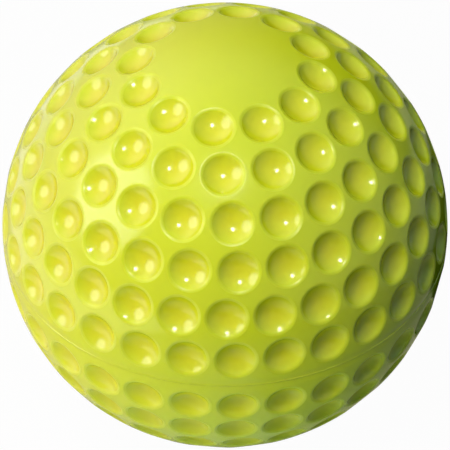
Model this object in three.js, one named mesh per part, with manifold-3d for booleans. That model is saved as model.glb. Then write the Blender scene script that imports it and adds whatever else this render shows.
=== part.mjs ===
// Dimpled pitching machine ball, the 12 inch softball size: two like half covers of moulded polyurethane,
// bonded rim to rim at the parting line round a foam core. Millimetres. The origin is the ball's centre,
// +Z runs through both poles and the parting line lies in the plane z = 0.
import * as THREE from "three";
import { ConvexHull } from "three/addons/math/ConvexHull.js";
import { mergeVertices } from "three/addons/utils/BufferGeometryUtils.js";
import Module from "manifold-3d";

// Ball and cover
const BALL_DIAMETER = 97; // over the lands between the dimples
const WALL_UNDER_DIMPLES = 2; // cover left below the deepest point of a dimple
const BOND_LINE = 0.3; // glue film all round the core

// Dimples, each a spherical cup
const DIMPLE_DIAMETER = 8.5; // at the rim
const DIMPLE_DEPTH = 1.9; // below the plane of the rim
const ROW_LAND = 1.45; // between one row and the next
const DIMPLE_LAND = 1.55; // between neighbours in a row, before the row is filled evenly
const SEAM_LAND = 2.6; // between the parting line and the first row
const POLE_PANEL_DIAMETER = 28; // smooth panel at the pole, along the surface, kept clear of dimples
const ROW_STARTS = [2.9, 0.6, 3.9, 2.3, -1, -7.5]; // degrees from the front to a row's first dimple
const TURN_OVER_AZIMUTH = 39.2; // degrees from the front to the axis that turns one half into the other

// Fineness of the facets
const DIMPLE_SIDES = 10;
const CUP_RINGS = 2; // from the bottom of a dimple to its rim
const PLAIN_PITCH = 4.5; // between points where the skin is smooth
const PARTING_SIDES = 120;
const CORE_SIDES = 36;

const RADIUS = BALL_DIAMETER / 2;
const DIMPLE_RADIUS = DIMPLE_DIAMETER / 2;
const CUP_RADIUS = (DIMPLE_RADIUS ** 2 + DIMPLE_DEPTH ** 2) / (2 * DIMPLE_DEPTH);
const RIM_HEIGHT = Math.sqrt(RADIUS ** 2 - DIMPLE_RADIUS ** 2); // from the ball's centre to a rim's plane
const CAVITY_RADIUS = RIM_HEIGHT - DIMPLE_DEPTH - WALL_UNDER_DIMPLES;
const CORE_RADIUS = CAVITY_RADIUS - BOND_LINE;
const FULL_TURN = 2 * Math.PI;

const cover = new THREE.MeshStandardMaterial({ color: 0xd3d92a, roughness: 0.25, metalness: 0 });
const foam = new THREE.MeshStandardMaterial({ color: 0xe6dfc4, roughness: 0.9, metalness: 0 });

const wasm = await Module();
wasm.setup();

// A closed geometry as a solid that can be cut.
function solid(geometry) {
  const bare = new THREE.BufferGeometry();
  bare.setAttribute("position", geometry.getAttribute("position"));
  bare.setIndex(geometry.getIndex());
  const merged = mergeVertices(bare);
  const vertProperties = new Float32Array(merged.getAttribute("position").array);
  const triVerts = new Uint32Array(merged.getIndex().array);
  return new wasm.Manifold(new wasm.Mesh({ numProp: 3, vertProperties, triVerts }));
}

// A cut solid back as a geometry.
function geometryOf(manifold) {
  const { vertProperties, triVerts } = manifold.getMesh();
  const geometry = new THREE.BufferGeometry();
  geometry.setAttribute("position", new THREE.BufferAttribute(vertProperties, 3));
  geometry.setIndex(new THREE.BufferAttribute(triVerts, 1));
  geometry.computeVertexNormals();
  return geometry;
}

// Unit direction at a latitude above the parting line and an azimuth from the front, both in radians.
function direction(latitude, azimuth) {
  const reach = Math.cos(latitude);
  return new THREE.Vector3(reach * Math.sin(azimuth), -reach * Math.cos(azimuth), Math.sin(latitude));
}

// Directions of the dimples of one half, row by row from the parting line to the pole panel.
function dimpleAxes() {
  const rowStep = (DIMPLE_DIAMETER + ROW_LAND) / RADIUS;
  const lastRow = Math.PI / 2 - (POLE_PANEL_DIAMETER + DIMPLE_DIAMETER) / 2 / RADIUS;
  const axes = [];
  let latitude = (SEAM_LAND + DIMPLE_RADIUS) / RADIUS;
  for (let row = 0; latitude < lastRow; row += 1) {
    const rowLength = FULL_TURN * RADIUS * Math.cos(latitude);
    const count = Math.round(rowLength / (DIMPLE_DIAMETER + DIMPLE_LAND));
    const start = THREE.MathUtils.degToRad(ROW_STARTS[row % ROW_STARTS.length]);
    for (let place = 0; place < count; place += 1) {
      axes.push(direction(latitude, start + (place * FULL_TURN) / count));
    }
    latitude += rowStep;
  }
  return axes;
}

// Points of one dimple: the bottom, then rings of the cup out to the rim, each turned half a step.
function dimplePoints(axis) {
  const across = new THREE.Vector3(0, 0, 1).cross(axis).normalize();
  const along = axis.clone().cross(across);
  const bottomHeight = RIM_HEIGHT - DIMPLE_DEPTH;
  const points = [axis.clone().multiplyScalar(bottomHeight)];
  for (let ring = 1; ring <= CUP_RINGS; ring += 1) {
    const reach = (DIMPLE_RADIUS * ring) / CUP_RINGS;
    const height = bottomHeight + CUP_RADIUS - Math.sqrt(CUP_RADIUS ** 2 - reach ** 2);
    for (let side = 0; side < DIMPLE_SIDES; side += 1) {
      const angle = ((side + ring / 2) * FULL_TURN) / DIMPLE_SIDES;
      const point = axis.clone().multiplyScalar(height);
      point.addScaledVector(across, reach * Math.cos(angle));
      point.addScaledVector(along, reach * Math.sin(angle));
      points.push(point);
    }
  }
  return points;
}

// Points of the smooth skin: the parting line, and rings over the pole panel out to the last row.
function plainPoints() {
  const points = [direction(Math.PI / 2, 0)];
  for (let side = 0; side < PARTING_SIDES; side += 1) {
    points.push(direction(0, (side * FULL_TURN) / PARTING_SIDES));
  }
  const panelRings = Math.floor(POLE_PANEL_DIAMETER / 2 / PLAIN_PITCH);
  for (let ring = 1; ring <= panelRings; ring += 1) {
    const fromPole = (ring * PLAIN_PITCH) / RADIUS;
    const count = Math.round((FULL_TURN * RADIUS * Math.sin(fromPole)) / PLAIN_PITCH);
    for (let place = 0; place < count; place += 1) {
      points.push(direction(Math.PI / 2 - fromPole, (place * FULL_TURN) / count));
    }
  }
  return points.map((point) => point.multiplyScalar(RADIUS));
}

// Closed half ball with its dimples: the hull of the points' directions says which points share a facet.
function dimpledHalfBall() {
  const skin = [...plainPoints(), ...dimpleAxes().flatMap(dimplePoints)];
  const pointOf = new Map(skin.map((point) => [point.clone().normalize(), point]));
  const hull = new ConvexHull().setFromPoints([...pointOf.keys()]);
  const corners = [];
  for (const face of hull.faces) {
    for (const edge of [face.edge, face.edge.next, face.edge.next.next]) {
      corners.push(pointOf.get(edge.head().point));
    }
  }
  return new THREE.BufferGeometry().setFromPoints(corners);
}

// Ball with its poles on Z and a ring of points in the parting plane.
function ball(radius) {
  return new THREE.SphereGeometry(radius, CORE_SIDES, CORE_SIDES / 2).rotateX(Math.PI / 2);
}

const halfCover = geometryOf(solid(dimpledHalfBall()).subtract(solid(ball(CAVITY_RADIUS))));

const upperCover = new THREE.Mesh(halfCover, cover);
upperCover.name = "upper_cover";

// Half a turn about an axis in the parting plane, written as a quaternion so that the rims meet exactly.
const turnAxis = direction(0, THREE.MathUtils.degToRad(TURN_OVER_AZIMUTH));
const lowerCover = new THREE.Mesh(halfCover, cover);
lowerCover.name = "lower_cover";
lowerCover.quaternion.set(turnAxis.x, turnAxis.y, 0, 0);

const core = new THREE.Mesh(ball(CORE_RADIUS), foam);
core.name = "core";

const pitchingMachineBall = new THREE.Group();
pitchingMachineBall.add(upperCover, lowerCover, core);

export default pitchingMachineBall;
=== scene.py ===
"""Looks of a dimpled pitching machine ball: two moulded half covers round a foam core.

The half covers are modelled from the same rows of dimples as the CAD part, at a finer grain: cups with
rounded rims, a fine parting line where the halves meet, and a smooth panel at each pole. The ball lies on a
pale studio floor. Lengths are in metres.
"""
import logging
import math
from dataclasses import dataclass, field
from enum import Enum
from functools import reduce

import bmesh
import bpy
import numpy as np
from mathutils import Matrix, Vector, noise
from mathutils.geometry import delaunay_2d_cdt


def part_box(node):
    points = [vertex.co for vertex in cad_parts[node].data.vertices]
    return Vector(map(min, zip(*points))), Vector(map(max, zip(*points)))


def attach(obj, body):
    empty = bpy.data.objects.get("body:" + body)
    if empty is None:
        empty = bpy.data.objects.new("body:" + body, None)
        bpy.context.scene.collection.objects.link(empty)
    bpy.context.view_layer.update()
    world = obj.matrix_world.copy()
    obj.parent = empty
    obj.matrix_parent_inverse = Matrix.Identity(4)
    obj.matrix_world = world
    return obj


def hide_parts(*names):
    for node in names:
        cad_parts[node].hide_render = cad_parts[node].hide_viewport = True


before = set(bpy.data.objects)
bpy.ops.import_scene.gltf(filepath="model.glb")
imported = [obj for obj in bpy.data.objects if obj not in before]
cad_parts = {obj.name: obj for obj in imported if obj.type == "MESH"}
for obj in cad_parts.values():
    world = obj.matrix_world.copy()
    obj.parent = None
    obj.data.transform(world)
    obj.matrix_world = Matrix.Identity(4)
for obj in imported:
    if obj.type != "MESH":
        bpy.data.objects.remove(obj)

LOG = logging.getLogger("pitching_machine_ball")
MM = 0.001
FULL_TURN = 2.0 * math.pi
BODY = "root"
CORE_NODE = "core"
BOND_LINE = 0.3 * MM  # glue film between the covers and the core

Face = tuple[int, ...]
Color = tuple[float, float, float]
Sides = tuple[float, float, float, float]  # lowest and highest x, lowest and highest y
NodeValue = float | tuple[float, ...] | bpy.types.NodeSocket
WHITE: Color = (1.0, 1.0, 1.0)


class Half(Enum):
    """The two like halves of the cover, each named by the CAD node that it stands for."""

    UPPER = "upper_cover"
    LOWER = "lower_cover"


class Slot(Enum):
    """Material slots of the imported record."""

    COVER = "cover"
    CORE = "core"


class Attribute(Enum):
    """Values kept on the points of a mesh for its material to read."""

    CUP = "cup_depth"
    RIM = "rim_wear"


class LampShape(Enum):
    """Shapes of a lamp's face, as Blender names them."""

    RECTANGLE = "RECTANGLE"
    DISK = "DISK"


def direction(latitude: float, azimuth: float) -> np.ndarray:
    """Points from the ball's centre to a place on its skin.

    Args:
        latitude: Angle above the parting plane, in radians.
        azimuth: Angle from the front, -Y, towards +X, in radians.

    Returns:
        The unit vector.
    """
    reach = math.cos(latitude)
    return np.array((reach * math.sin(azimuth), -reach * math.cos(azimuth), math.sin(latitude)))


class Draft:
    """A mesh under construction: points and faces that are added piece by piece."""

    def __init__(self) -> None:
        """Starts with no points and no faces."""
        self.points: list[np.ndarray] = []
        self.normals: list[np.ndarray] = []
        self.faces: list[Face] = []
        self.count = 0

    def add(self, points: np.ndarray, normals: np.ndarray | None = None) -> np.ndarray:
        """Adds points.

        Args:
            points: Their places, in an array whose last axis is x, y and z.
            normals: Their outward normals in an array of the same shape, or None where the faces give them.

        Returns:
            The new points' numbers, in an array of the same shape without the last axis.
        """
        flat = points.reshape(-1, 3)
        self.normals.append(np.zeros_like(flat) if normals is None else normals.reshape(-1, 3))
        numbers = np.arange(self.count, self.count + len(flat)).reshape(points.shape[:-1])
        self.points.append(flat)
        self.count += len(flat)
        return numbers

    def strip(self, inner: np.ndarray, outer: np.ndarray) -> None:
        """Joins two closed rings of as many points with four-sided faces.

        Args:
            inner: Numbers of one ring's points, counter-clockwise seen from outside.
            outer: Numbers of the ring round it, in step with the first.
        """
        after = np.roll(np.arange(len(inner)), -1)
        quads = np.stack((inner, outer, outer[after], inner[after]), axis=1)
        self.faces.extend(map(tuple, quads.tolist()))

    def fan(self, middle: int, ring: np.ndarray) -> None:
        """Closes a ring with triangles round a middle point.

        Args:
            middle: Number of the middle point.
            ring: Numbers of the ring's points, counter-clockwise seen from outside.
        """
        after = np.roll(ring, -1)
        self.faces.extend((middle, int(a), int(b)) for a, b in zip(ring, after))

    def mesh(self, name: str) -> bpy.types.Mesh:
        """Makes the smooth-shaded mesh.

        Args:
            name: Name of the mesh.

        Returns:
            The mesh.
        """
        mesh = bpy.data.meshes.new(name)
        mesh.from_pydata(np.concatenate(self.points).tolist(), [], self.faces)
        mesh.validate()
        mesh.shade_smooth()
        mesh.normals_split_custom_set_from_vertices(np.concatenate(self.normals).tolist())
        return mesh


def lands_between(points: np.ndarray, loops: np.ndarray) -> list[Face]:
    """Fills the skin of the upper half between closed loops with triangles.

    Seen from the lower pole, circles on the ball stay circles in the parting plane, so a plane triangulation
    of the points' pictures there is as even as one on the ball itself.

    Args:
        points: Places of all points, in an array of rows x, y and z.
        loops: Numbers of the points round each hole, one row for each hole.

    Returns:
        Triangles of point numbers, facing out.
    """
    unit = points / np.linalg.norm(points, axis=1, keepdims=True)
    flat = unit[:, :2] / (1.0 + unit[:, 2:])
    edges = np.stack((loops, np.roll(loops, -1, axis=1)), axis=-1).reshape(-1, 2).tolist()
    no_hole, triangles_with_hull, merge_distance = -1, 0, 1e-9
    hole_of = np.full(len(points), no_hole)
    hole_of[loops] = np.arange(len(loops))[:, None]
    pictures = [Vector(place) for place in flat]
    made = delaunay_2d_cdt(pictures, edges, [], triangles_with_hull, merge_distance)
    _, _, triangles, made_from, _, _ = made
    origin = [first[0] for first in made_from]
    lands = []
    for corners in triangles:
        face = tuple(origin[corner] for corner in corners)
        holes = {int(hole_of[corner]) for corner in face}
        if len(holes) > 1 or no_hole in holes:
            lands.append(face)
    return lands


@dataclass(frozen=True)
class DimpleCup:
    """One dimple: a spherical cup with a rounded edge that meets the skin in a fine crease.

    Attributes:
        diameter: Across the cup where it would cut the bare ball.
        depth: From the plane of that circle to the bottom.
        edge_round: Radius of the edge between cup and skin.
        crease: Angle between the end of the edge and the skin, in degrees.
        crease_width: Breadth over which the skin turns at the crease.
        sides: Points in each ring.
        cup_rings: Rings from the bottom to the edge.
        edge_rings: Rings over the edge.
    """

    diameter: float = 8.5 * MM
    depth: float = 1.9 * MM
    edge_round: float = 1.35 * MM
    crease: float = 9.0
    crease_width: float = 0.03 * MM
    sides: int = 28
    cup_rings: int = 4
    edge_rings: int = 3

    def profile(self, ball_radius: float) -> tuple[np.ndarray, np.ndarray]:
        """Draws the cup from its bottom over the edge and the crease to the ball's skin.

        Args:
            ball_radius: Radius of the ball over its lands.

        Returns:
            One row for each ring: its reach from the dimple's axis and its height from the ball's centre, and
            the same two parts of the skin's outward normal there.
        """
        rim = self.diameter / 2.0
        cup_radius = (rim**2 + self.depth**2) / (2.0 * self.depth)
        cup_height = math.sqrt(ball_radius**2 - rim**2) - self.depth + cup_radius
        crease = math.radians(self.crease)
        corner = 2.0 * ball_radius * self.edge_round * math.cos(crease)
        inside_skin = math.sqrt(ball_radius**2 + self.edge_round**2 - corner)
        outside_cup = cup_radius + self.edge_round
        edge_height = (inside_skin**2 - outside_cup**2 + cup_height**2) / (2.0 * cup_height)
        edge_reach = math.sqrt(inside_skin**2 - edge_height**2)
        cup_end = math.atan2(edge_reach, cup_height - edge_height)
        crease_lean = math.asin(self.edge_round * math.sin(crease) / inside_skin)
        skin_lean = math.atan2(edge_reach, edge_height) - crease_lean
        cup_turn = np.linspace(0.0, cup_end, self.cup_rings + 1)
        edge_turn = np.linspace(-cup_end, skin_lean - crease, self.edge_rings + 1)[1:]
        cup_normals = np.stack((-np.sin(cup_turn), np.cos(cup_turn)), axis=1)
        edge_normals = np.stack((np.sin(edge_turn), np.cos(edge_turn)), axis=1)
        cup = np.array((0.0, cup_height)) - cup_radius * cup_normals
        edge = np.array((edge_reach, edge_height)) + self.edge_round * edge_normals
        skin_turn = skin_lean + self.crease_width / ball_radius
        skin_normal = np.array(((math.sin(skin_turn), math.cos(skin_turn)),))
        places = np.concatenate((cup, edge, ball_radius * skin_normal))
        return places, np.concatenate((cup_normals, edge_normals, skin_normal))

    def rings(self, axes: np.ndarray, ball_radius: float) -> tuple[np.ndarray, np.ndarray]:
        """Places the rings of every dimple.

        Args:
            axes: Unit vectors from the ball's centre through the dimples, one row each.
            ball_radius: Radius of the ball over its lands.

        Returns:
            Places and outward normals by dimple, ring and side. The first ring is the bottom, repeated.
        """
        across = np.cross((0.0, 0.0, 1.0), axes)
        across /= np.linalg.norm(across, axis=1, keepdims=True)
        along = np.cross(axes, across)
        turn = np.arange(self.sides) * FULL_TURN / self.sides
        cosine, sine = np.cos(turn)[None, :, None], np.sin(turn)[None, :, None]
        spokes = cosine * across[:, None] + sine * along[:, None]
        turned = []
        for rows in self.profile(ball_radius):
            reach, height = rows.T
            upright = (axes[:, None] * height[None, :, None])[:, :, None]
            turned.append(spokes[:, None] * reach[None, :, None, None] + upright)
        return turned[0], turned[1]


@dataclass(frozen=True)
class DimpleRows:
    """How the dimples of one half lie: even rows from the parting line to the pole panel.

    Attributes:
        row_land: Skin between one row and the next.
        dimple_land: Skin between neighbours in a row, before the row is filled evenly.
        seam_land: Skin between the parting line and the first row.
        pole_panel: Diameter of the smooth panel at the pole, along the skin.
        starts: Angle from the front to the first dimple of each row, in degrees.
    """

    row_land: float = 1.45 * MM
    dimple_land: float = 1.55 * MM
    seam_land: float = 2.6 * MM
    pole_panel: float = 28.0 * MM
    starts: tuple[float, ...] = (2.9, 0.6, 3.9, 2.3, -1.0, -7.5)

    def axes(self, ball_radius: float, dimple: float) -> np.ndarray:
        """Finds the dimples' axes.

        Args:
            ball_radius: Radius of the ball over its lands.
            dimple: Diameter of a dimple.

        Returns:
            Unit vectors from the ball's centre, one row for each dimple.
        """
        axes = []
        latitude = (self.seam_land + dimple / 2.0) / ball_radius
        last = math.pi / 2.0 - (self.pole_panel + dimple) / 2.0 / ball_radius
        row = 0
        while latitude < last:
            count = round(FULL_TURN * ball_radius * math.cos(latitude) / (dimple + self.dimple_land))
            start = math.radians(self.starts[row % len(self.starts)])
            axes.extend(direction(latitude, start + place * FULL_TURN / count) for place in range(count))
            latitude += (dimple + self.row_land) / ball_radius
            row += 1
        return np.array(axes)


@dataclass(frozen=True)
class PartingLine:
    """The thin line that the mould leaves where the two halves meet, with the skin dressed down beside it.

    Attributes:
        height: How far the line stands above the dressed skin. Its crest lies at the ball's radius.
        width: Its breadth on one half.
        dressed_width: Breadth on one half over which the skin comes back to the ball's radius.
        unevenness: Share of the height that comes and goes round the ball.
        waves: How often it comes and goes.
        sides: Points round the ball.
        line_rings: Rings over the line's own breadth.
        dressed_rings: Rings over the dressed skin.
    """

    height: float = 0.13 * MM
    width: float = 0.25 * MM
    dressed_width: float = 1.5 * MM
    unevenness: float = 0.35
    waves: tuple[int, ...] = (3, 7, 11)
    sides: int = 240
    line_rings: int = 6
    dressed_rings: int = 5

    @property
    def reach(self) -> float:
        """Distance from the parting plane to the plain skin."""
        return self.width + self.dressed_width

    def ring_places(self, ball_radius: float) -> np.ndarray:
        """Places the rings of the line on the upper half, from the parting plane to the plain skin.

        Args:
            ball_radius: Radius of the ball over its lands.

        Returns:
            Places by ring and side.
        """
        azimuth = np.arange(self.sides) * FULL_TURN / self.sides
        swell = sum(np.sin(count * azimuth + count) for count in self.waves) / len(self.waves)
        sunk = self.height * (1.0 + self.unevenness * swell)
        down = np.linspace(0.0, 1.0, self.line_rings)
        back = np.linspace(0.0, 1.0, self.dressed_rings + 1)[1:]
        heights = np.concatenate((down * self.width, self.width + back * self.dressed_width))
        shares = 0.5 - 0.5 * np.cos(math.pi * np.concatenate((down, 1.0 - back)))
        right, back_way = np.sin(azimuth), -np.cos(azimuth)
        rings = []
        for height, share in zip(heights, shares):
            reach = np.sqrt(ball_radius**2 - height**2) - share * sunk
            level = np.full(self.sides, height)
            rings.append(np.stack((reach * right, reach * back_way, level), axis=1))
        return np.array(rings)


class Graph:
    """A shader node tree under construction."""

    def __init__(self, tree: bpy.types.NodeTree) -> None:
        """Takes over an empty node tree."""
        self.tree = tree

    def add(self, kind: str, inputs: dict | None = None, **settings: object) -> bpy.types.Node:
        """Adds a node.

        Args:
            kind: Type of the node.
            inputs: For each input, by name or number, a value or the output that feeds it.
            settings: Properties of the node.

        Returns:
            The node.
        """
        node = self.tree.nodes.new(kind)
        for name, value in settings.items():
            setattr(node, name, value)
        for name, value in (inputs or {}).items():
            if isinstance(value, bpy.types.NodeSocket):
                self.tree.links.new(value, node.inputs[name])
            else:
                node.inputs[name].default_value = value
        return node

    def math(self, operation: str, *values: NodeValue, clamp: bool = False) -> bpy.types.NodeSocket:
        """Adds a Math node.

        Args:
            operation: What it does with its values.
            values: Numbers or outputs.
            clamp: Whether the result is kept from 0 to 1.

        Returns:
            Its output.
        """
        node = self.add("ShaderNodeMath", dict(enumerate(values)), operation=operation, use_clamp=clamp)
        return node.outputs[0]

    def sum(self, first: NodeValue, second: NodeValue) -> bpy.types.NodeSocket:
        """Adds two vectors."""
        return self.add("ShaderNodeVectorMath", {0: first, 1: second}, operation="ADD").outputs["Vector"]

    def scaled(self, vector: NodeValue, scale: NodeValue) -> bpy.types.NodeSocket:
        """Scales a vector by a value."""
        node = self.add("ShaderNodeVectorMath", {0: vector, "Scale": scale}, operation="SCALE")
        return node.outputs["Vector"]

    def group(self, tree: bpy.types.NodeTree, inputs: dict[str, NodeValue]) -> bpy.types.NodeSocket:
        """Places a node group.

        Args:
            tree: The group.
            inputs: For each input a value or an output.

        Returns:
            The group's one output.
        """
        return self.add("ShaderNodeGroup", inputs, node_tree=tree).outputs[0]

    def mix(self, share: NodeValue, first: NodeValue, second: NodeValue) -> bpy.types.NodeSocket:
        """Adds a Mix node for colours.

        Args:
            share: How much of the second colour, as a number or an output.
            first: Colour or output.
            second: Colour or output.

        Returns:
            Its colour output.
        """
        factor, color_a, color_b, color_result = 0, 6, 7, 2
        inputs = {factor: share, color_a: first, color_b: second}
        return self.add("ShaderNodeMix", inputs, data_type="RGBA").outputs[color_result]


def opaque(color: Color) -> tuple[float, float, float, float]:
    """Adds full alpha to a colour."""
    return (*color, 1.0)


class Effects:
    """Shader node groups that more than one finish uses."""

    def __init__(self) -> None:
        """Builds each group once."""
        self.mottle = self._mottle()
        self.skin = self._skin()

    @staticmethod
    def _group(
        name: str, inputs: dict[str, float | None], output: str
    ) -> tuple[Graph, bpy.types.Node, bpy.types.Node]:
        """Starts a group.

        Args:
            name: Name of the group.
            inputs: Default of each input, or None for a vector.
            output: Name of its one output, a value.

        Returns:
            The group's graph and its input and output nodes.
        """
        tree = bpy.data.node_groups.new(name, "ShaderNodeTree")
        for socket, default in inputs.items():
            kind = "NodeSocketVector" if default is None else "NodeSocketFloat"
            made = tree.interface.new_socket(name=socket, in_out="INPUT", socket_type=kind)
            if default is not None:
                made.default_value = default
        tree.interface.new_socket(name=output, in_out="OUTPUT", socket_type="NodeSocketFloat")
        graph = Graph(tree)
        return graph, graph.add("NodeGroupInput"), graph.add("NodeGroupOutput")

    def _mottle(self) -> bpy.types.NodeTree:
        """Builds slow cloudy variation, from 0 to 1.

        Returns:
            The group, with inputs Vector, Scale and Contrast and output Mask.
        """
        inputs = {"Vector": None, "Scale": 60.0, "Contrast": 1.0}
        graph, given, result = self._group("Mottle", inputs, "Mask")
        middle = 0.5
        grain = {"Detail": 4.0, "Roughness": 0.55}
        place = {"Vector": given.outputs["Vector"], "Scale": given.outputs["Scale"]}
        clouds = graph.add("ShaderNodeTexNoise", {**place, **grain})
        centred = graph.math("SUBTRACT", clouds.outputs["Fac"], middle)
        stretched = graph.math("MULTIPLY_ADD", centred, given.outputs["Contrast"], middle, clamp=True)
        graph.tree.links.new(stretched, result.inputs["Mask"])
        return graph.tree

    def _skin(self) -> bpy.types.NodeTree:
        """Builds the relief of a moulded skin: a soft peel with small pits.

        Returns:
            The group, with inputs Vector, Peel Scale, Peel, Pit Scale and Pits and output Height.
        """
        inputs = {"Vector": None, "Peel Scale": 400.0, "Peel": 1.0, "Pit Scale": 900.0, "Pits": 0.3}
        graph, given, result = self._group("Moulded skin", inputs, "Height")
        peel = graph.add(
            "ShaderNodeTexNoise",
            {"Vector": given.outputs["Vector"], "Scale": given.outputs["Peel Scale"], "Detail": 2.0},
        )
        cells = graph.add(
            "ShaderNodeTexVoronoi", {"Vector": given.outputs["Vector"], "Scale": given.outputs["Pit Scale"]}
        )
        pit_reach = 0.25
        hollow = graph.math("SUBTRACT", pit_reach, cells.outputs["Distance"], clamp=True)
        raised = graph.math("MULTIPLY", peel.outputs["Fac"], given.outputs["Peel"])
        sunk = graph.math("MULTIPLY", hollow, given.outputs["Pits"])
        graph.tree.links.new(graph.math("SUBTRACT", raised, sunk), result.inputs["Height"])
        return graph.tree


def new_material(name: str) -> tuple[bpy.types.Material, Graph]:
    """Makes a material with an empty node tree.

    Args:
        name: Name of the material.

    Returns:
        The material and its graph.
    """
    material = bpy.data.materials.new(name)
    material.use_nodes = True
    material.node_tree.nodes.clear()
    return material, Graph(material.node_tree)


@dataclass(frozen=True)
class SkinTexture:
    """Faint clouds and fine relief of a moulded skin.

    Attributes:
        cloud_scale: Clouds in a metre.
        cloud_contrast: How much the clouds stand out.
        peel_scale: Waves of the peel in a metre.
        peel: Share of the peel in the relief.
        pit_scale: Pits in a metre.
        pits: Share of the pits in the relief.
        relief: Height of the relief.
    """

    cloud_scale: float
    cloud_contrast: float
    peel_scale: float
    peel: float
    pit_scale: float
    pits: float
    relief: float

    def clouds(self, graph: Graph, effects: Effects, place: bpy.types.NodeSocket) -> bpy.types.NodeSocket:
        """Adds the clouds to a material.

        Args:
            graph: The material's graph.
            effects: The shared node groups.
            place: Place on the piece.

        Returns:
            How cloudy that place is, from 0 to 1.
        """
        inputs = {"Vector": place, "Scale": self.cloud_scale, "Contrast": self.cloud_contrast}
        return graph.group(effects.mottle, inputs)

    def normal(self, graph: Graph, effects: Effects, place: bpy.types.NodeSocket) -> bpy.types.NodeSocket:
        """Adds the relief to a material.

        Args:
            graph: The material's graph.
            effects: The shared node groups.
            place: Place on the piece.

        Returns:
            The normal of the relief there.
        """
        peel = {"Peel Scale": self.peel_scale, "Peel": self.peel}
        pits = {"Pit Scale": self.pit_scale, "Pits": self.pits}
        height = graph.group(effects.skin, {"Vector": place, **peel, **pits})
        bump = graph.add("ShaderNodeBump", {"Strength": 1.0, "Distance": self.relief, "Height": height})
        return bump.outputs["Normal"]


@dataclass(frozen=True)
class CoverPlastic:
    """Glossy moulded polyurethane in optic yellow.

    Attributes:
        land: Colour of the lands.
        land_shade: Colour that the lands drift to in faint clouds.
        cup: Colour in the cups, a painted warm bounce light that stands in for light bouncing from wall to
            wall and warming.
        roughness: Roughness of the polished skin.
        rim_roughness: Roughness of the rims, which are worn by handling.
        roughness_drift: How much rougher the cloudy places are.
        subsurface: Share of light that goes under the skin.
        scatter: How far each colour goes under the skin, in millimetres.
        ior: Index of refraction.
        texture: Clouds and relief of the skin.
    """

    land: Color = (0.548, 0.585, 0.008)
    land_shade: Color = (0.523, 0.565, 0.008)
    cup: Color = (0.59, 0.555, 0.003)
    roughness: float = 0.13
    rim_roughness: float = 0.33
    roughness_drift: float = 0.05
    subsurface: float = 0.5
    scatter: tuple[float, float, float] = (0.6, 0.5, 0.15)
    ior: float = 1.55
    texture: SkinTexture = SkinTexture(
        cloud_scale=70.0,
        cloud_contrast=1.6,
        peel_scale=450.0,
        peel=1.0,
        pit_scale=700.0,
        pits=0.2,
        relief=0.012 * MM,
    )

    def material(self, effects: Effects) -> bpy.types.Material:
        """Builds the material.

        Args:
            effects: The shared node groups.

        Returns:
            The material.
        """
        material, graph = new_material("optic_yellow_polyurethane")
        place = graph.add("ShaderNodeTexCoord").outputs["Object"]
        clouds = self.texture.clouds(graph, effects, place)
        cup = graph.add("ShaderNodeAttribute", attribute_name=Attribute.CUP.value).outputs["Fac"]
        land = graph.mix(clouds, opaque(self.land), opaque(self.land_shade))
        # Painted warm bounce light: the colour moves towards the cup colour the deeper a point lies in a cup.
        color = graph.mix(cup, land, opaque(self.cup))
        rim = graph.add("ShaderNodeAttribute", attribute_name=Attribute.RIM.value).outputs["Fac"]
        worn = graph.math("MULTIPLY_ADD", rim, self.rim_roughness - self.roughness, self.roughness)
        roughness = graph.math("MULTIPLY_ADD", clouds, self.roughness_drift, worn)
        shader = graph.add(
            "ShaderNodeBsdfPrincipled",
            {
                "Base Color": color,
                "Roughness": roughness,
                "Normal": self.texture.normal(graph, effects, place),
                "IOR": self.ior,
                "Subsurface Weight": self.subsurface,
                "Subsurface Radius": self.scatter,
                "Subsurface Scale": MM,
            },
        )
        graph.add("ShaderNodeOutputMaterial", {"Surface": shader.outputs["BSDF"]})
        return material


@dataclass(frozen=True)
class CoreFoam:
    """Matt cream polyurethane foam with a closed, pitted skin.

    Attributes:
        skin: Colour of the foam's skin.
        skin_shade: Colour that it drifts to.
        roughness: Roughness of the skin.
        texture: Clouds and relief of the skin.
    """

    skin: Color = (0.78, 0.72, 0.55)
    skin_shade: Color = (0.66, 0.58, 0.40)
    roughness: float = 0.85
    texture: SkinTexture = SkinTexture(
        cloud_scale=120.0,
        cloud_contrast=2.0,
        peel_scale=200.0,
        peel=0.4,
        pit_scale=600.0,
        pits=2.0,
        relief=0.2 * MM,
    )

    def material(self, effects: Effects) -> bpy.types.Material:
        """Builds the material.

        Args:
            effects: The shared node groups.

        Returns:
            The material.
        """
        material, graph = new_material("cream_foam")
        place = graph.add("ShaderNodeTexCoord").outputs["Object"]
        clouds = self.texture.clouds(graph, effects, place)
        shader = graph.add(
            "ShaderNodeBsdfPrincipled",
            {
                "Base Color": graph.mix(clouds, opaque(self.skin), opaque(self.skin_shade)),
                "Roughness": self.roughness,
                "Normal": self.texture.normal(graph, effects, place),
            },
        )
        graph.add("ShaderNodeOutputMaterial", {"Surface": shader.outputs["BSDF"]})
        return material


def seat(
    name: str, mesh: bpy.types.Mesh, material: bpy.types.Material, node: str
) -> bpy.types.Object:
    """Puts a piece in the scene in place of its CAD node.

    Args:
        name: Name of the piece.
        mesh: Its mesh, in the part's own frame.
        material: Its finish.
        node: The CAD node that it stands for.

    Returns:
        The piece.
    """
    mesh.materials.append(material)
    piece = bpy.data.objects.new(name, mesh)
    bpy.context.scene.collection.objects.link(piece)
    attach(piece, BODY)
    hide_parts(node)
    LOG.info("%s: %d faces", name, len(mesh.polygons))
    return piece


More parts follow.
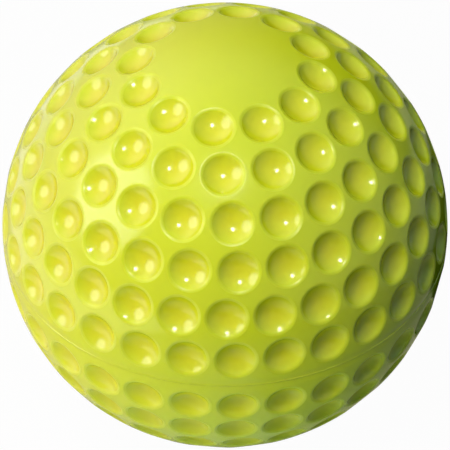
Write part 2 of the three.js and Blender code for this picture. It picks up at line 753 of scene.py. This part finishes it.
@dataclass
class CoverHalf:
    """One half of the cover: dimpled skin, flat rim and the inside wall round the core.

    Attributes:
        half: Which half it is.
        radius: Radius of the ball over its lands.
        cavity_radius: Radius of the inside wall.
        turn_over: Angle from the front to the axis that turns one half into the other, in degrees.
        plain_pitch: Distance between points where the skin is smooth.
        clear_of_rim: Least distance from a rim to those points.
        wall_rings: Rings of the inside wall.
    """

    half: Half
    radius: float
    cavity_radius: float
    turn_over: float = 39.2
    plain_pitch: float = 1.3 * MM
    clear_of_rim: float = 0.3 * MM
    wall_rings: int = 20
    cup: DimpleCup = field(default_factory=DimpleCup)
    rows: DimpleRows = field(default_factory=DimpleRows)
    parting: PartingLine = field(default_factory=PartingLine)

    def _plain_points(self, axes: np.ndarray, rim_reach: float) -> np.ndarray:
        """Scatters points evenly over the lands and the pole panel, on a spiral from the pole.

        Args:
            axes: The dimples' axes.
            rim_reach: Distance from a dimple's axis to the end of its rim.

        Returns:
            Places, one row each.
        """
        golden_turn = math.pi * (3.0 - math.sqrt(5.0))
        count = round(FULL_TURN * (self.radius / self.plain_pitch) ** 2)
        number = np.arange(count) + 0.5
        height = 1.0 - number / count
        reach = np.sqrt(1.0 - height**2)
        turn = number * golden_turn
        unit = np.stack((reach * np.cos(turn), reach * np.sin(turn), height), axis=1)
        clear = math.cos((rim_reach + self.clear_of_rim) / self.radius)
        off_dimples = (unit @ axes.T).max(axis=1) < clear
        off_parting = unit[:, 2] * self.radius > self.parting.reach + self.clear_of_rim
        return unit[off_dimples & off_parting] * self.radius

    def _skin(self, draft: Draft) -> np.ndarray:
        """Adds the dimpled skin of the upper half.

        Args:
            draft: The mesh under construction.

        Returns:
            Numbers of the points round the parting plane.
        """
        axes = self.rows.axes(self.radius, self.cup.diameter)
        rings, normals = self.cup.rings(axes, self.radius)
        bottoms = draft.add(rings[:, 0, 0], normals[:, 0, 0])
        cups = draft.add(rings[:, 1:], normals[:, 1:])
        for bottom, cup in zip(bottoms, cups):
            draft.fan(int(bottom), cup[0])
            for inner, outer in zip(cup, cup[1:]):
                draft.strip(inner, outer)
        line = draft.add(self.parting.ring_places(self.radius))
        for upper, lower in zip(line[1:], line):
            draft.strip(upper, lower)
        rim_reach = self.cup.profile(self.radius)[0][-1, 0]
        plain_places = self._plain_points(axes, rim_reach)
        plain = draft.add(plain_places, plain_places / self.radius)
        used = np.concatenate((cups[:, -1].ravel(), line[-1], plain))
        places = np.concatenate(draft.points)[used]
        loops = np.arange(cups[:, -1].size).reshape(cups[:, -1].shape)
        for face in lands_between(places, loops):
            draft.faces.append(tuple(int(used[corner]) for corner in face))
        return line[0]

    def _wall(self, draft: Draft, edge: np.ndarray) -> None:
        """Adds the flat rim and the inside wall.

        Args:
            draft: The mesh under construction.
            edge: Numbers of the skin's points round the parting plane.
        """
        azimuth = np.arange(len(edge)) * FULL_TURN / len(edge)
        latitude = np.linspace(0.0, math.pi / 2.0, self.wall_rings, endpoint=False)
        places = np.stack([direction(0.0, turn) for turn in azimuth])
        rings = np.cos(latitude)[:, None, None] * places[None]
        rings[..., 2] = np.sin(latitude)[:, None]
        wall = draft.add(rings * self.cavity_radius)
        draft.strip(edge, wall[0])
        for lower, upper in zip(wall, wall[1:]):
            draft.strip(lower, upper)
        pole = draft.add(np.array([[0.0, 0.0, self.cavity_radius]]))
        draft.fan(int(pole[0]), wall[-1][::-1])

    def _keep_places(self, mesh: bpy.types.Mesh) -> None:
        """Keeps how deep in a cup each point of the upper half lies, and whether it is on a rim.

        Args:
            mesh: The half's mesh, before it is turned over.
        """
        flat = np.empty(len(mesh.vertices) * 3, np.float32)
        mesh.vertices.foreach_get("co", flat)
        places = flat.reshape(-1, 3)
        from_centre = np.linalg.norm(places, axis=1)
        profile = self.cup.profile(self.radius)[0]
        deepest = self.radius - profile[0, 1]
        depth = np.clip((self.radius - from_centre) / deepest, 0.0, 1.0)
        facing = (places @ self.rows.axes(self.radius, self.cup.diameter).T).max(axis=1)
        reach = np.sqrt(np.maximum(from_centre**2 - facing**2, 0.0))
        edge_start = 0.5 * (profile[self.cup.cup_rings, 0] + profile[self.cup.cup_rings + 1, 0])
        edge_end = 0.5 * (profile[-2, 0] + profile[-1, 0])
        rim = (reach > edge_start) & (reach < edge_end)
        for attribute, values in ((Attribute.CUP, depth), (Attribute.RIM, rim)):
            kept = mesh.attributes.new(attribute.value, "FLOAT", "POINT")
            kept.data.foreach_set("value", values.astype(np.float32))

    def build(self) -> bpy.types.Mesh:
        """Models the half.

        Returns:
            Its closed mesh, in the part's own frame.
        """
        draft = Draft()
        edge = self._skin(draft)
        self._wall(draft, edge)
        mesh = draft.mesh(self.half.value)
        self._keep_places(mesh)
        if self.half is Half.LOWER:
            axis = Vector(direction(0.0, math.radians(self.turn_over)))
            mesh.transform(Matrix.Rotation(math.pi, 4, axis))
        return mesh

    def dress(self, material: bpy.types.Material) -> bpy.types.Object:
        """Builds the half and gives it its finish.

        Args:
            material: The cover's finish.

        Returns:
            The piece.
        """
        return seat(f"{self.half.value}_skin", self.build(), material, self.half.value)


@dataclass
class FoamCore:
    """The moulded foam ball inside the cover.

    Attributes:
        radius: Radius of the core.
        fineness: How often the starting mesh is divided.
        dents: How far the skin sinks in slow waves.
        dent_scale: Waves in a metre.
    """

    radius: float
    fineness: int = 5
    dents: float = 0.15 * MM
    dent_scale: float = 90.0

    def build(self) -> bpy.types.Mesh:
        """Models the core, never larger than its radius.

        Returns:
            Its mesh.
        """
        shape = bmesh.new()
        bmesh.ops.create_icosphere(shape, subdivisions=self.fineness, radius=self.radius)
        for point in shape.verts:
            sunk = self.dents * (0.5 + 0.5 * noise.noise(point.co * self.dent_scale))
            point.co -= point.co.normalized() * sunk
        mesh = bpy.data.meshes.new(CORE_NODE)
        shape.to_mesh(mesh)
        shape.free()
        mesh.shade_smooth()
        return mesh

    def dress(self, material: bpy.types.Material) -> bpy.types.Object:
        """Builds the core and gives it its finish.

        Args:
            material: The foam's finish.

        Returns:
            The piece.
        """
        return seat("foam_core", self.build(), material, CORE_NODE)


def area_light(
    name: str, shape: LampShape, size: tuple[float, float], power: float, color: Color
) -> bpy.types.Object:
    """Adds an area light to the scene, at the origin and facing down.

    Args:
        name: Name of the light.
        shape: Shape of its face.
        size: Width and height of its face.
        power: Power in watts.
        color: Colour of the light.

    Returns:
        The light.
    """
    data = bpy.data.lights.new(name, "AREA")
    data.shape = shape.value
    data.size, data.size_y = size
    data.energy = power
    data.color = color
    light = bpy.data.objects.new(name, data)
    bpy.context.scene.collection.objects.link(light)
    return light


@dataclass(frozen=True)
class Lamp:
    """A lamp that faces the ball.

    Attributes:
        name: Name of the lamp.
        azimuth: Angle from the front towards +X, in degrees.
        elevation: Angle above the parting plane, in degrees.
        distance: Distance from the ball's centre.
        size: Width and height.
        power: Power in watts.
        color: Colour of the light.
        shape: Shape of the lamp's face.
        mirrored: Whether glossy surfaces show it.
        lights: Whether it lights surfaces that are not glossy.
    """

    name: str
    azimuth: float
    elevation: float
    distance: float
    size: tuple[float, float]
    power: float
    color: Color = WHITE
    shape: LampShape = LampShape.RECTANGLE
    mirrored: bool = True
    lights: bool = True

    def place(self) -> None:
        """Puts the lamp in the scene."""
        lamp = area_light(self.name, self.shape, self.size, self.power, self.color)
        towards = Vector(direction(math.radians(self.elevation), math.radians(self.azimuth)))
        lamp.visible_glossy = self.mirrored
        lamp.visible_diffuse = self.lights
        lamp.location = towards * self.distance
        lamp.rotation_euler = towards.to_track_quat("Z", "Y").to_euler()


@dataclass(frozen=True)
class BounceCard:
    """A pale card on the floor that throws light up.

    Attributes:
        name: Name of the card's light.
        middle: Place of its middle, x and y.
        size: Width and depth.
        power: Power in watts.
        color: Colour of the light.
        lift: Height of the card above the floor.
    """

    name: str
    middle: tuple[float, float]
    size: tuple[float, float]
    power: float
    color: Color = WHITE
    lift: float = 1.5 * MM

    def place(self, floor_height: float) -> None:
        """Puts the card's light in the scene.

        Args:
            floor_height: Height of the floor.
        """
        card = area_light(self.name, LampShape.RECTANGLE, self.size, self.power, self.color)
        card.visible_camera = False
        card.visible_glossy = False
        card.location = (*self.middle, floor_height + self.lift)
        card.rotation_euler = (math.pi, 0.0, 0.0)


@dataclass(frozen=True)
class Glow:
    """A soft bright part of the surround, such as a large diffuser.

    Attributes:
        azimuth: Angle of its middle from the front towards +X, in degrees.
        elevation: Angle of its middle above the parting plane, in degrees.
        inner: Angle from its middle to where it starts to fade, in degrees.
        outer: Angle from its middle to where it has faded, in degrees.
        strength: Strength in the middle.
        color: Colour of the light.
    """

    azimuth: float
    elevation: float
    inner: float
    outer: float
    strength: float
    color: Color = WHITE

    def light(self, graph: Graph, towards: bpy.types.NodeSocket) -> bpy.types.NodeSocket:
        """Adds the glow's nodes to the world.

        Args:
            graph: The world's graph.
            towards: Direction of a ray.

        Returns:
            The glow's light in that direction, as a vector.
        """
        middle = tuple(direction(math.radians(self.elevation), math.radians(self.azimuth)))
        facing = graph.add("ShaderNodeVectorMath", {0: towards, 1: middle}, operation="DOT_PRODUCT")
        angle = graph.math("ARCCOSINE", facing.outputs["Value"])
        edges = {"From Min": math.radians(self.outer), "From Max": math.radians(self.inner)}
        fade = graph.add("ShaderNodeMapRange", {"Value": angle, **edges}, interpolation_type="SMOOTHSTEP")
        full = tuple(self.strength * part for part in self.color)
        return graph.scaled(full, fade.outputs["Result"])


@dataclass(frozen=True)
class GlossCard:
    """A card on the floor that shows in the gloss alone.

    Attributes:
        name: Name of the card.
        sides: Lowest and highest x, and lowest and highest y.
        light: Strength of its plain light.
        color: Colour of the light.
        lift: Height of the card above the floor.
    """

    name: str
    sides: Sides
    light: float
    color: Color = WHITE
    lift: float = 1.2 * MM


@dataclass(frozen=True)
class Studio:
    """A pale floor with cards under the ball, large soft diffusers round it and a few lamps.

    Attributes:
        floor_height: Height of the floor.
        floor_size: Breadth of the floor.
        floor_color: Colour of the floor.
        background: How much of what the camera sees of the floor is plain white.
        glossy_background: The same share for what the ball's gloss shows of the floor.
        dark_card: Sides of a dark card on the floor that is not seen itself.
        dark_card_color: Colour of the dark card.
        dark_card_lift: Height of the dark card above the floor.
        gloss_cards: Cards that only the gloss shows.
        glows: The diffusers.
        reflections: Parts of the white background and of the diffusers that only the gloss shows.
        lamps: The lamps.
        bounces: The bounce cards on the floor.
    """

    floor_height: float
    floor_size: float = 6.0
    floor_color: Color = (0.45, 0.45, 0.45)
    background: float = 0.975
    glossy_background: float = 0.06
    dark_card: Sides = (0.02, 1.5, -1.0, 1.5)
    dark_card_color: Color = (0.03, 0.03, 0.03)
    dark_card_lift: float = 1.0 * MM
    gloss_cards: tuple[GlossCard, ...] = (
        GlossCard("pale_card", (-1.5, -0.11, -0.4, 1.5), light=1.5),
        GlossCard("far_card", (0.2, 1.5, -1.5, 0.3), light=0.45),
        GlossCard("low_card", (0.02, 0.12, -0.1, 0.015), light=0.36, color=(1.0, 1.0, 0.6)),
        GlossCard("shade", (0.04, 0.12, 0.015, 0.11), light=0.0),
    )
    glows: tuple[Glow, ...] = (
        Glow(azimuth=-75.0, elevation=28.0, inner=20.0, outer=75.0, strength=0.15, color=(1.0, 0.7, 1.0)),
        Glow(azimuth=-130.0, elevation=25.0, inner=15.0, outer=75.0, strength=1.05, color=(1.0, 0.72, 0.75)),
        Glow(azimuth=0.0, elevation=88.0, inner=15.0, outer=70.0, strength=0.68, color=(0.52, 1.0, 0.6)),
    )
    reflections: tuple[Glow, ...] = (
        Glow(azimuth=-75.0, elevation=28.0, inner=19.5, outer=24.0, strength=3.8),
        Glow(azimuth=-110.0, elevation=20.0, inner=20.0, outer=60.0, strength=0.6),
        Glow(azimuth=0.0, elevation=43.0, inner=80.0, outer=118.0, strength=0.48, color=(0.9, 1.0, 0.95)),
        Glow(azimuth=75.0, elevation=5.0, inner=20.0, outer=70.0, strength=0.2, color=(0.8, 1.0, 0.8)),
    )
    lamps: tuple[Lamp, ...] = (
        Lamp("small_lamp", -1.0, 66.0, 0.8, (0.17, 0.17), power=2.4, shape=LampShape.DISK, lights=False),
        Lamp(
            "side_light", -26.0, 55.0, 0.3, (0.12, 0.12), power=0.685, color=(1.0, 0.97, 1.0), mirrored=False
        ),
        Lamp("low_light", -50.0, 6.0, 0.5, (0.2, 0.1), power=0.13, mirrored=False),
        Lamp("far_light", 168.0, 5.0, 0.5, (0.3, 0.2), power=1.2, mirrored=False),
    )
    bounces: tuple[BounceCard, ...] = (
        BounceCard("left_bounce", (-0.12, -0.06), (0.12, 0.2), power=0.205, color=(1.0, 0.77, 0.86)),
        BounceCard("front_bounce", (-0.04, -0.11), (0.18, 0.12), power=0.066, color=(0.6, 1.0, 0.87)),
    )

    def _white_share(self, graph: Graph) -> bpy.types.NodeSocket:
        """Finds how much of the floor's look is plain white for a ray.

        Args:
            graph: Graph of the floor's material.

        Returns:
            The share, which is 0 for light that the floor sends on.
        """
        path = graph.add("ShaderNodeLightPath").outputs
        glossy = graph.math("MULTIPLY", path["Is Glossy Ray"], self.glossy_background)
        clear = graph.math("MAXIMUM", path["Is Camera Ray"], path["Is Transmission Ray"])
        return graph.math("MAXIMUM", graph.math("MULTIPLY", clear, self.background), glossy)

    @staticmethod
    def _sheet(name: str, sides: Sides, height: float) -> bpy.types.Object:
        """Lays a flat sheet that belongs to the studio.

        Args:
            name: Name of the sheet.
            sides: Its sides.
            height: Height at which it lies.

        Returns:
            The sheet.
        """
        left, right, front, back = sides
        corners = [(left, front), (right, front), (right, back), (left, back)]
        mesh = bpy.data.meshes.new(name)
        mesh.from_pydata([(x, y, height) for x, y in corners], [], [(0, 1, 2, 3)])
        sheet = bpy.data.objects.new(name, mesh)
        bpy.context.scene.collection.objects.link(sheet)
        return sheet

    def _lay_floor(self) -> None:
        """Lays the floor, which keeps the ball's shadow."""
        half = self.floor_size / 2.0
        floor = self._sheet("floor", (-half, half, -half, half), self.floor_height)
        material, graph = new_material("pale_floor")
        lit = graph.add("ShaderNodeBsdfDiffuse", {"Color": opaque(self.floor_color)})
        white = graph.add("ShaderNodeEmission", {"Color": opaque(WHITE), "Strength": 1.0})
        shaders = {1: lit.outputs[0], 2: white.outputs[0]}
        mixed = graph.add("ShaderNodeMixShader", {0: self._white_share(graph), **shaders})
        graph.add("ShaderNodeOutputMaterial", {"Surface": mixed.outputs[0]})
        floor.data.materials.append(material)

    def _lay_dark_card(self) -> None:
        """Lays a dark card beside the ball, which keeps the floor's light off that side."""
        card = self._sheet("dark_card", self.dark_card, self.floor_height + self.dark_card_lift)
        card.visible_camera = False
        card.visible_glossy = False
        card.visible_shadow = False
        material, graph = new_material("dark_card")
        dark = graph.add("ShaderNodeBsdfDiffuse", {"Color": opaque(self.dark_card_color)})
        graph.add("ShaderNodeOutputMaterial", {"Surface": dark.outputs[0]})
        card.data.materials.append(material)

    def _lay_gloss_card(self, card: GlossCard) -> None:
        """Lays a card that shows in the gloss alone.

        Args:
            card: The card.
        """
        sheet = self._sheet(card.name, card.sides, self.floor_height + card.lift)
        sheet.visible_camera = False
        sheet.visible_diffuse = False
        sheet.visible_shadow = False
        material, graph = new_material(card.name)
        glow = graph.add("ShaderNodeEmission", {"Color": opaque(card.color), "Strength": card.light})
        graph.add("ShaderNodeOutputMaterial", {"Surface": glow.outputs[0]})
        sheet.data.materials.append(material)

    def _surround(self) -> None:
        """Sets the glows and reflections all round, and white where the camera sees past the floor."""
        world = bpy.data.worlds.new("studio")
        world.use_nodes = True
        world.node_tree.nodes.clear()
        graph = Graph(world.node_tree)
        towards = graph.add("ShaderNodeTexCoord").outputs["Generated"]
        path = graph.add("ShaderNodeLightPath").outputs
        lights = [glow.light(graph, towards) for glow in self.glows]
        for glow in self.reflections:
            lights.append(graph.scaled(glow.light(graph, towards), path["Is Glossy Ray"]))
        total = reduce(graph.sum, lights)
        soft = graph.add("ShaderNodeBackground", {"Color": total, "Strength": 1.0})
        white = graph.add("ShaderNodeBackground", {"Color": opaque(WHITE), "Strength": 1.0})
        shaders = {1: soft.outputs[0], 2: white.outputs[0]}
        mixed = graph.add("ShaderNodeMixShader", {0: path["Is Camera Ray"], **shaders})
        graph.add("ShaderNodeOutputWorld", {"Surface": mixed.outputs[0]})
        bpy.context.scene.world = world

    def build(self) -> None:
        """Lays the floor and sets the lights."""
        self._lay_floor()
        self._lay_dark_card()
        for card in self.gloss_cards:
            self._lay_gloss_card(card)
        self._surround()
        for lamp in self.lamps:
            lamp.place()
        for bounce in self.bounces:
            bounce.place(self.floor_height)
        bpy.context.scene.view_settings.view_transform = "Standard"


@dataclass(frozen=True)
class PhotoCamera:
    """The camera at the photograph's viewing angle.

    Attributes:
        elevation: Angle above the parting plane, in degrees.
        distance: Distance from the ball's centre.
        roll: Lean of the ball's axis to the right in the picture, in degrees.
        lens: Focal length in millimetres.
    """

    elevation: float = 43.0
    distance: float = 0.582
    roll: float = 0.35
    lens: float = 213.0

    def place(self) -> None:
        """Puts the camera in the scene."""
        data = bpy.data.cameras.new("camera")
        data.lens = self.lens
        camera = bpy.data.objects.new("camera", data)
        towards = Vector(direction(math.radians(self.elevation), 0.0))
        camera.location = towards * self.distance
        roll = Matrix.Rotation(math.radians(self.roll), 3, "Z")
        turn = towards.to_track_quat("Z", "Y").to_matrix() @ roll
        camera.rotation_euler = turn.to_euler()
        bpy.context.scene.collection.objects.link(camera)
        bpy.context.scene.camera = camera


def top_of(node: str) -> float:
    """Height of a CAD node's highest point."""
    _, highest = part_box(node)
    return float(highest[2])


def main() -> None:
    """Dresses the ball and sets it in the studio."""
    logging.basicConfig(level=logging.INFO, format="%(message)s")
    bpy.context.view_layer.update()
    radius = top_of(Half.UPPER.value)
    core_radius = top_of(CORE_NODE)
    PhotoCamera().place()
    effects = Effects()
    yellow = CoverPlastic().material(effects)
    for half in Half:
        CoverHalf(half, radius, core_radius + BOND_LINE).dress(yellow)
    FoamCore(core_radius).dress(CoreFoam().material(effects))
    Studio(floor_height=-radius).build()


if __name__ == "__main__":
    main()
